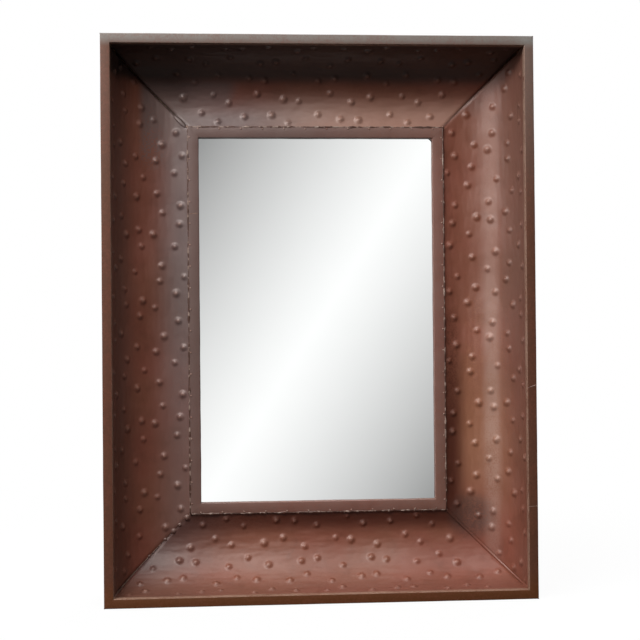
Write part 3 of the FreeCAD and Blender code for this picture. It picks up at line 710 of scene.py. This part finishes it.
# Corner drop: solder that ran into the upper right corner of the opening and set there as a thin web with a
# hollow edge, which rounds the corner. Stained like the lip.
DROP, DROP_BACK, DROP_THICKNESS, DROP_HOLLOW, DROP_PROFILE = 0.005, 0.003, 0.003, 0.97, 0.14
opening = LIP_OUTER + LIP_WIDTH
web = begin("web", bpy.ops.mesh.primitive_plane_add, spread=(DROP, DROP, 1), size=1, rotation=FACING_FRONT,
            location=(opening + DROP / 2 - WIDTH / 2, LIP_Y + DROP_BACK, opening + DROP / 2))
pick("VERT", lambda corner: corner.co.x + corner.co.z > 2 * opening - WIDTH / 2 + 1.5 * DROP)
bpy.ops.mesh.bevel(offset=DROP * DROP_HOLLOW, segments=6, profile=DROP_PROFILE, affect="VERTICES")
apply_modifier(web, "SOLIDIFY", thickness=DROP_THICKNESS, offset=0)
fit(web, "top", "corner_drop", lip_finish)
bpy.data.objects.remove(web)

# The mirror: plain silvered float glass, laid in the strips' rebate with a grey card behind it.
# Neither is fixed: the back panel holds both in.
SILVER, HAZED_SILVER = (0.94, 0.95, 0.945), (0.92, 0.935, 0.93)
DARK_FIBRE, PALE_FIBRE, CARD_RELIEF = (0.3, 0.28, 0.25), (0.42, 0.4, 0.36), 0.0002

mirror_finish, place = new_finish("silvered_glass")
haze = cloud(place, 22.0, detail=4.0)
surface(place, blended(haze, SILVER, HAZED_SILVER), 0.0, haze, 0.0, Metallic=1.0)
refinish(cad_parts["mirror_glass"], mirror_finish)

grey_card, place = new_finish("grey_card")
fibre = cloud(place, 260.0, detail=4.0, roughness=0.7)
surface(place, blended(fibre, DARK_FIBRE, PALE_FIBRE), 0.85 + 0.1 * fibre, fibre, CARD_RELIEF)
refinish(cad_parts["backing_card"], grey_card)

# Back panel: thin plywood let in between the boards, screwed to the cleats and to the strips round the glass
# with zinc-plated pan-head screws, cross-recessed.
PLYWOOD = {"pale": (0.56, 0.4, 0.24), "dark": (0.3, 0.17, 0.08), "ring_count": 6.0, "figure": 15.0}
ZINC, TARNISHED_ZINC, ZINC_RELIEF = (0.6, 0.6, 0.58), (0.46, 0.44, 0.38), 0.0002
HEAD_RADIUS, HEAD_HEIGHT, HEAD_ROUND = 0.0033, 0.002, 0.0013
SHANK_RADIUS, SHANK_LENGTH, TIP_SHARE = 0.0015, 0.009, 0.35
CUTTER_WIDTH, CUTTER_HEIGHT, CUTTER_ARM, SCREW_TURN = 0.0009, 0.0024, 0.0014, 0.8

# The panel's back, how far in the two lines of screws lie, and their places as shares of the width and height
PANEL_BACK, CLEAT_LINE, STRIP_LINE = 0.046, 0.0251, 0.1235
CLEAT_ACROSS, CLEAT_UP, STRIP_UP = 0.3, (0.14, 0.5, 0.86), (0.32, 0.68)

plywood = bare_wood("plywood", UPRIGHT, **PLYWOOD)
refinish(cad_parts["back_panel"], plywood)

zinc, place = new_finish("zinc_plate")
spangle = place.node("ShaderNodeTexVoronoi", {}, {
    "Vector": place, "Scale": 420.0, "Randomness": 1.0}, output="Distance")
tarnish = cloud(place, 90.0, detail=4.0, roughness=0.6)
surface(place, blended(tarnish, ZINC, TARNISHED_ZINC), 0.26 + 0.2 * tarnish + 0.1 * spangle,
        spangle * 0.3 + tarnish * 0.2, ZINC_RELIEF, Metallic=1.0)


def place_screws(screw, node, head_depth, places):
    """Copies the screw to its places, each turned as the driver left it, as one piece."""
    copies = [copied(screw, "driven_screw", SCREW_TURN * number, (x, head_depth, z))
              for number, (x, z) in enumerate(places)]
    for copy in copies:
        copy.select_set(True)
    bpy.ops.object.join()
    row = bpy.context.object
    row.name = row.data.name = f"turned_{node}"
    refinish(row, zinc)
    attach(row, "frame")
    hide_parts(node)


recess = begin("recess", bpy.ops.mesh.primitive_cube_add, spread=(CUTTER_WIDTH, CUTTER_HEIGHT, CUTTER_WIDTH), size=1,
               location=(0, HEAD_HEIGHT, 0))
pick("FACE", lambda face: abs(face.normal.y) < 0.1)
bpy.ops.mesh.extrude_faces_move(TRANSFORM_OT_shrink_fatten={"value": CUTTER_ARM})
bpy.ops.object.mode_set(mode="OBJECT")
screw = begin("screw", bpy.ops.mesh.primitive_cylinder_add, vertices=24, radius=HEAD_RADIUS, depth=HEAD_HEIGHT,
              rotation=(-math.pi / 2, 0, 0), location=(0, HEAD_HEIGHT / 2, 0))
pick("EDGE", lambda edge: near(edge, DEEP, HEAD_HEIGHT))
bpy.ops.mesh.bevel(offset=HEAD_ROUND, segments=4, affect="EDGES")
pick("FACE", lambda face: face.normal.y < -0.9)
bpy.ops.mesh.inset(thickness=HEAD_RADIUS - SHANK_RADIUS)
pull((0, -SHANK_LENGTH, 0))
bpy.ops.transform.resize(value=(TIP_SHARE, 1, TIP_SHARE))
apply_modifier(screw, "BOOLEAN", object=recess, operation="DIFFERENCE")
bpy.ops.object.shade_smooth_by_angle(angle=math.radians(35))
bpy.data.objects.remove(recess)
place_screws(screw, "cleat_screws", PANEL_BACK,
             [(side * CLEAT_ACROSS * WIDTH, z) for z in (CLEAT_LINE, HEIGHT - CLEAT_LINE) for side in (-1, 1)]
             + [(side * (WIDTH / 2 - CLEAT_LINE), share * HEIGHT) for side in (-1, 1) for share in CLEAT_UP])
place_screws(screw, "sight_strip_screws", PANEL_BACK,
             [(0, z) for z in (STRIP_LINE, HEIGHT - STRIP_LINE)]
             + [(side * (WIDTH / 2 - STRIP_LINE), share * HEIGHT) for side in (-1, 1) for share in STRIP_UP])

# Hangers: a zinc-plated strap rolled round the bar of a D-ring bent from wire, screwed through the panel
# into each side cleat at three quarters of the height. The ring swings in the rolled eye.
HANGER_X, HANGER_Z, STRAP_HOLES = 0.2939, 0.75 * HEIGHT, (0.006, 0.018)
STRAP_SHEET, STRAP_WIDTH, STRAP_FLAT, STRAP_ROUND = 0.001, 0.014, 0.028, 0.0045
EYE_RADIUS, EYE_WRAP = 0.00208, math.radians(295)
EYE_Y = STRAP_SHEET / 2 + EYE_RADIUS
WIRE, RING_HALF, RING_CORNER, RING_LEG = 0.0015, 0.0115, 0.0035, 0.003
place_screws(screw, "hanger_screws", PANEL_BACK + STRAP_SHEET,
             [(side * (HANGER_X - hole), HANGER_Z) for side in (-1, 1) for hole in STRAP_HOLES])
bpy.data.objects.remove(screw)


def hang(piece, side, body, node):
    """Copies a hanger's piece to the left or, turned over, to the right."""
    copy = copied(piece, f"bent_{node}", 0 if side < 0 else math.pi, (side * HANGER_X, PANEL_BACK, HANGER_Z))
    refinish(copy, zinc)
    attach(copy, body)
    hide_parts(node)


strap = begin("strap", bpy.ops.mesh.primitive_plane_add, spread=(STRAP_FLAT, STRAP_WIDTH, 1), size=1,
              rotation=(-math.pi / 2, 0, 0), location=(STRAP_FLAT / 2, STRAP_SHEET / 2, 0))
pick("VERT", lambda corner: corner.co.x < 1e-5)
bpy.ops.mesh.bevel(offset=STRAP_ROUND, segments=6, affect="VERTICES")
pick("EDGE", lambda edge: near(edge, ACROSS, STRAP_FLAT))
bpy.ops.mesh.spin(steps=28, angle=EYE_WRAP, center=(STRAP_FLAT, EYE_Y, 0), axis=(0, 0, 1))
apply_modifier(strap, "SOLIDIFY", thickness=STRAP_SHEET, offset=0)
bpy.ops.object.shade_smooth_by_angle(angle=math.radians(35))

# The ring is bent as one half, from the middle of its bow round to the middle of its bar, and mirrored
leg_start = STRAP_FLAT + RING_CORNER
bow = leg_start + RING_LEG
ring = begin("ring", bpy.ops.mesh.primitive_circle_add, vertices=14, radius=WIRE, rotation=(0, math.pi / 2, 0),
             location=(bow, EYE_Y, RING_HALF))
bpy.ops.mesh.spin(steps=12, angle=-math.pi / 2, center=(bow, EYE_Y, 0), axis=(0, 1, 0))
pick("EDGE", lambda edge: near(edge, ACROSS, bow) and min(corner.co.z for corner in edge.verts) > RING_CORNER)
pull((-RING_LEG, 0, 0))
bpy.ops.mesh.spin(steps=8, angle=math.pi / 2, center=(leg_start, EYE_Y, RING_HALF - RING_CORNER), axis=(0, 1, 0))
pull((0, 0, RING_CORNER - RING_HALF))
apply_modifier(ring, "MIRROR", use_axis=(False, False, True), use_clip=True)
bpy.ops.object.mode_set(mode="EDIT")
bpy.ops.mesh.select_all(action="SELECT")
bpy.ops.mesh.remove_doubles(threshold=0.00002)
bpy.ops.mesh.normals_make_consistent()
bpy.ops.object.mode_set(mode="OBJECT")
bpy.ops.object.shade_smooth()
for side, hand in ((-1, "left"), (1, "right")):
    hang(strap, side, "frame", f"{hand}_hanger_strap")
    hang(ring, side, f"{hand}_ring", f"{hand}_hanger_ring")
bpy.data.objects.remove(strap)
bpy.data.objects.remove(ring)

# The stage: a white floor that keeps the shadow, a card with a diagonal gradient that only reflections see,
# soft lamps in front at the upper left with a faint one at the right, and lamps for the right side and the back.
WHITE, BLACK = (1, 1, 1), (0, 0, 0)
FLOOR_SIZE, FLOOR_SEEN, FLOOR_BOUNCE = 12, (0.85, 0.85, 0.85), (0.05, 0.05, 0.05)
CARD_X, CARD_Y, CARD_Z, CARD_WIDTH, CARD_HEIGHT, CARD_FADE = 0.06, -0.85, 0.56, 0.9, 1.1, 0.19

# Where the sheen is brightest, how it falls off across and up, and the curve, rate and level of its fall
SHEEN_X, SHEEN_Z, SHEEN_ACROSS, SHEEN_UP = 0.0658, 0.4095, 1.175, 0.754
SHEEN_CURVE, SHEEN_RATE, SHEEN_LEVEL = 1.17, 1.256, 1.07

bpy.ops.object.select_all(action="DESELECT")
bpy.ops.mesh.primitive_plane_add(size=FLOOR_SIZE, location=(0, 0, 0))
floor = bpy.context.object
floor.name = "floor"
floor_finish, place = new_finish("floor_white")


def looked_at(place):
    """Full for what the camera sees, straight or in clear glass and mirrors, faint for what shines dimly in
    a rough gloss, and nothing for light on the object."""
    camera, glossy, sharp, clear, bounces = [place.node("ShaderNodeLightPath", {}, {}, output=name) for name in (
        "Is Camera Ray", "Is Glossy Ray", "Is Singular Ray", "Is Transmission Ray", "Diffuse Depth")]
    seen = place.math("MAXIMUM", place.math("MAXIMUM", camera, clear), glossy * (0.03 + 0.97 * sharp))
    return seen * (1 - place.math("MINIMUM", bounces, 1.0))


shown = looked_at(place)
paint = place.node("ShaderNodeBsdfDiffuse", {}, {"Color": blended(shown, FLOOR_BOUNCE, FLOOR_SEEN)})
glow = place.node("ShaderNodeEmission", {}, {"Color": (*WHITE, 1), "Strength": 1.0})
away = place.node("ShaderNodeVectorMath", {"operation": "LENGTH"}, {0: place}, output="Value")
mixed = place.node("ShaderNodeMixShader", {}, {0: shown * (0.94 + 0.06 * eased(away, 0.6, 1.5)), 1: paint, 2: glow})
place.node("ShaderNodeOutputMaterial", {}, {"Surface": mixed})
floor.data.materials.append(floor_finish)

world = bpy.context.scene.world or bpy.data.worlds.new("studio")
bpy.context.scene.world = world
world.use_nodes = True
world.node_tree.nodes.clear()
place = Shade(world.node_tree.nodes.new("ShaderNodeTexCoord").outputs["Generated"])
sky = place.node("ShaderNodeBackground", {}, {"Color": (*WHITE, 1), "Strength": 0.02 + looked_at(place) * 0.98})
place.node("ShaderNodeOutputWorld", {}, {"Surface": sky})

card = begin("gradient_card", bpy.ops.mesh.primitive_plane_add, spread=(CARD_WIDTH, CARD_HEIGHT, 1), size=1,
             rotation=FACING_FRONT, location=(CARD_X, CARD_Y, CARD_Z))
bpy.ops.object.mode_set(mode="OBJECT")
card_finish, place = new_finish("gradient_card")
x, z = coordinate(place, ACROSS), coordinate(place, UPRIGHT)
slant = place.math("ABSOLUTE", (x - SHEEN_X) * SHEEN_ACROSS - (z - SHEEN_Z) * SHEEN_UP, 0.0)
glow = place.node("ShaderNodeEmission", {}, {
    "Color": blended(place.math("POWER", slant, SHEEN_CURVE) * SHEEN_RATE, WHITE, BLACK),
    "Strength": looked_at(place) * SHEEN_LEVEL})
aside = place.math("ABSOLUTE", x - CARD_X, 0.0)
solid = eased(place.math("MINIMUM", CARD_WIDTH / 2 - aside, CARD_Z + CARD_HEIGHT / 2 - z), 0.0, CARD_FADE)
low_corner = eased(aside, 0.255, 0.33) * (1 - eased(z, 0.0, 0.3))
faded = place.node("ShaderNodeMixShader", {}, {
    0: solid * (1 - low_corner), 1: place.node("ShaderNodeBsdfTransparent", {}, {}), 2: glow})
place.node("ShaderNodeOutputMaterial", {}, {"Surface": faded})
card.data.materials.append(card_finish)
card.visible_camera = False
card.visible_diffuse = False
card.visible_shadow = False


def light(name, width, height, power, place, elevation, azimuth):
    """A soft box that faces the mirror from so many degrees above and so many to the right."""
    lamp = bpy.data.lights.new(name, "AREA")
    lamp.shape = "RECTANGLE"
    lamp.size, lamp.size_y, lamp.energy = width, height, power
    box = bpy.data.objects.new(name, lamp)
    bpy.context.scene.collection.objects.link(box)
    box.location = place
    box.rotation_euler = (math.radians(90 - elevation), 0, math.radians(azimuth))
    box.visible_camera = False


light("key", width=1.4, height=0.6, power=51.0, place=(-1.161, -1.721, 1.965), elevation=37, azimuth=-34)
light("sky", width=2.4, height=1.6, power=40.0, place=(-0.35, -1.0, 2.8), elevation=66, azimuth=-20)
light("side", width=0.6, height=0.9, power=15.0, place=(-2.07, -1.29, 1.29), elevation=20, azimuth=-58)
light("fill", width=1.5, height=1.0, power=5.0, place=(1.844, -1.547, 2.2), elevation=37, azimuth=50)
light("right", width=0.8, height=1.0, power=20.0, place=(2.4, 0.6, 0.45), elevation=0, azimuth=103)
light("back right", width=2.0, height=1.5, power=50.0, place=(1.2, 2.1, 1.7), elevation=28, azimuth=150)
light("back left", width=1.0, height=1.5, power=14.0, place=(-2.0, 1.4, 1.3), elevation=20, azimuth=235)

camera = bpy.data.cameras.new("camera")
camera.lens = 71.63
camera.sensor_width = 36
view = bpy.data.objects.new("camera", camera)
bpy.context.scene.collection.objects.link(view)
view.location = (-0.1278, -1.8494, 0.3854)
view.rotation_euler = [math.radians(angle) for angle in (90.5, 0.51, -3.9955)]
bpy.context.scene.camera = view
bpy.context.scene.view_settings.view_transform = "Standard"
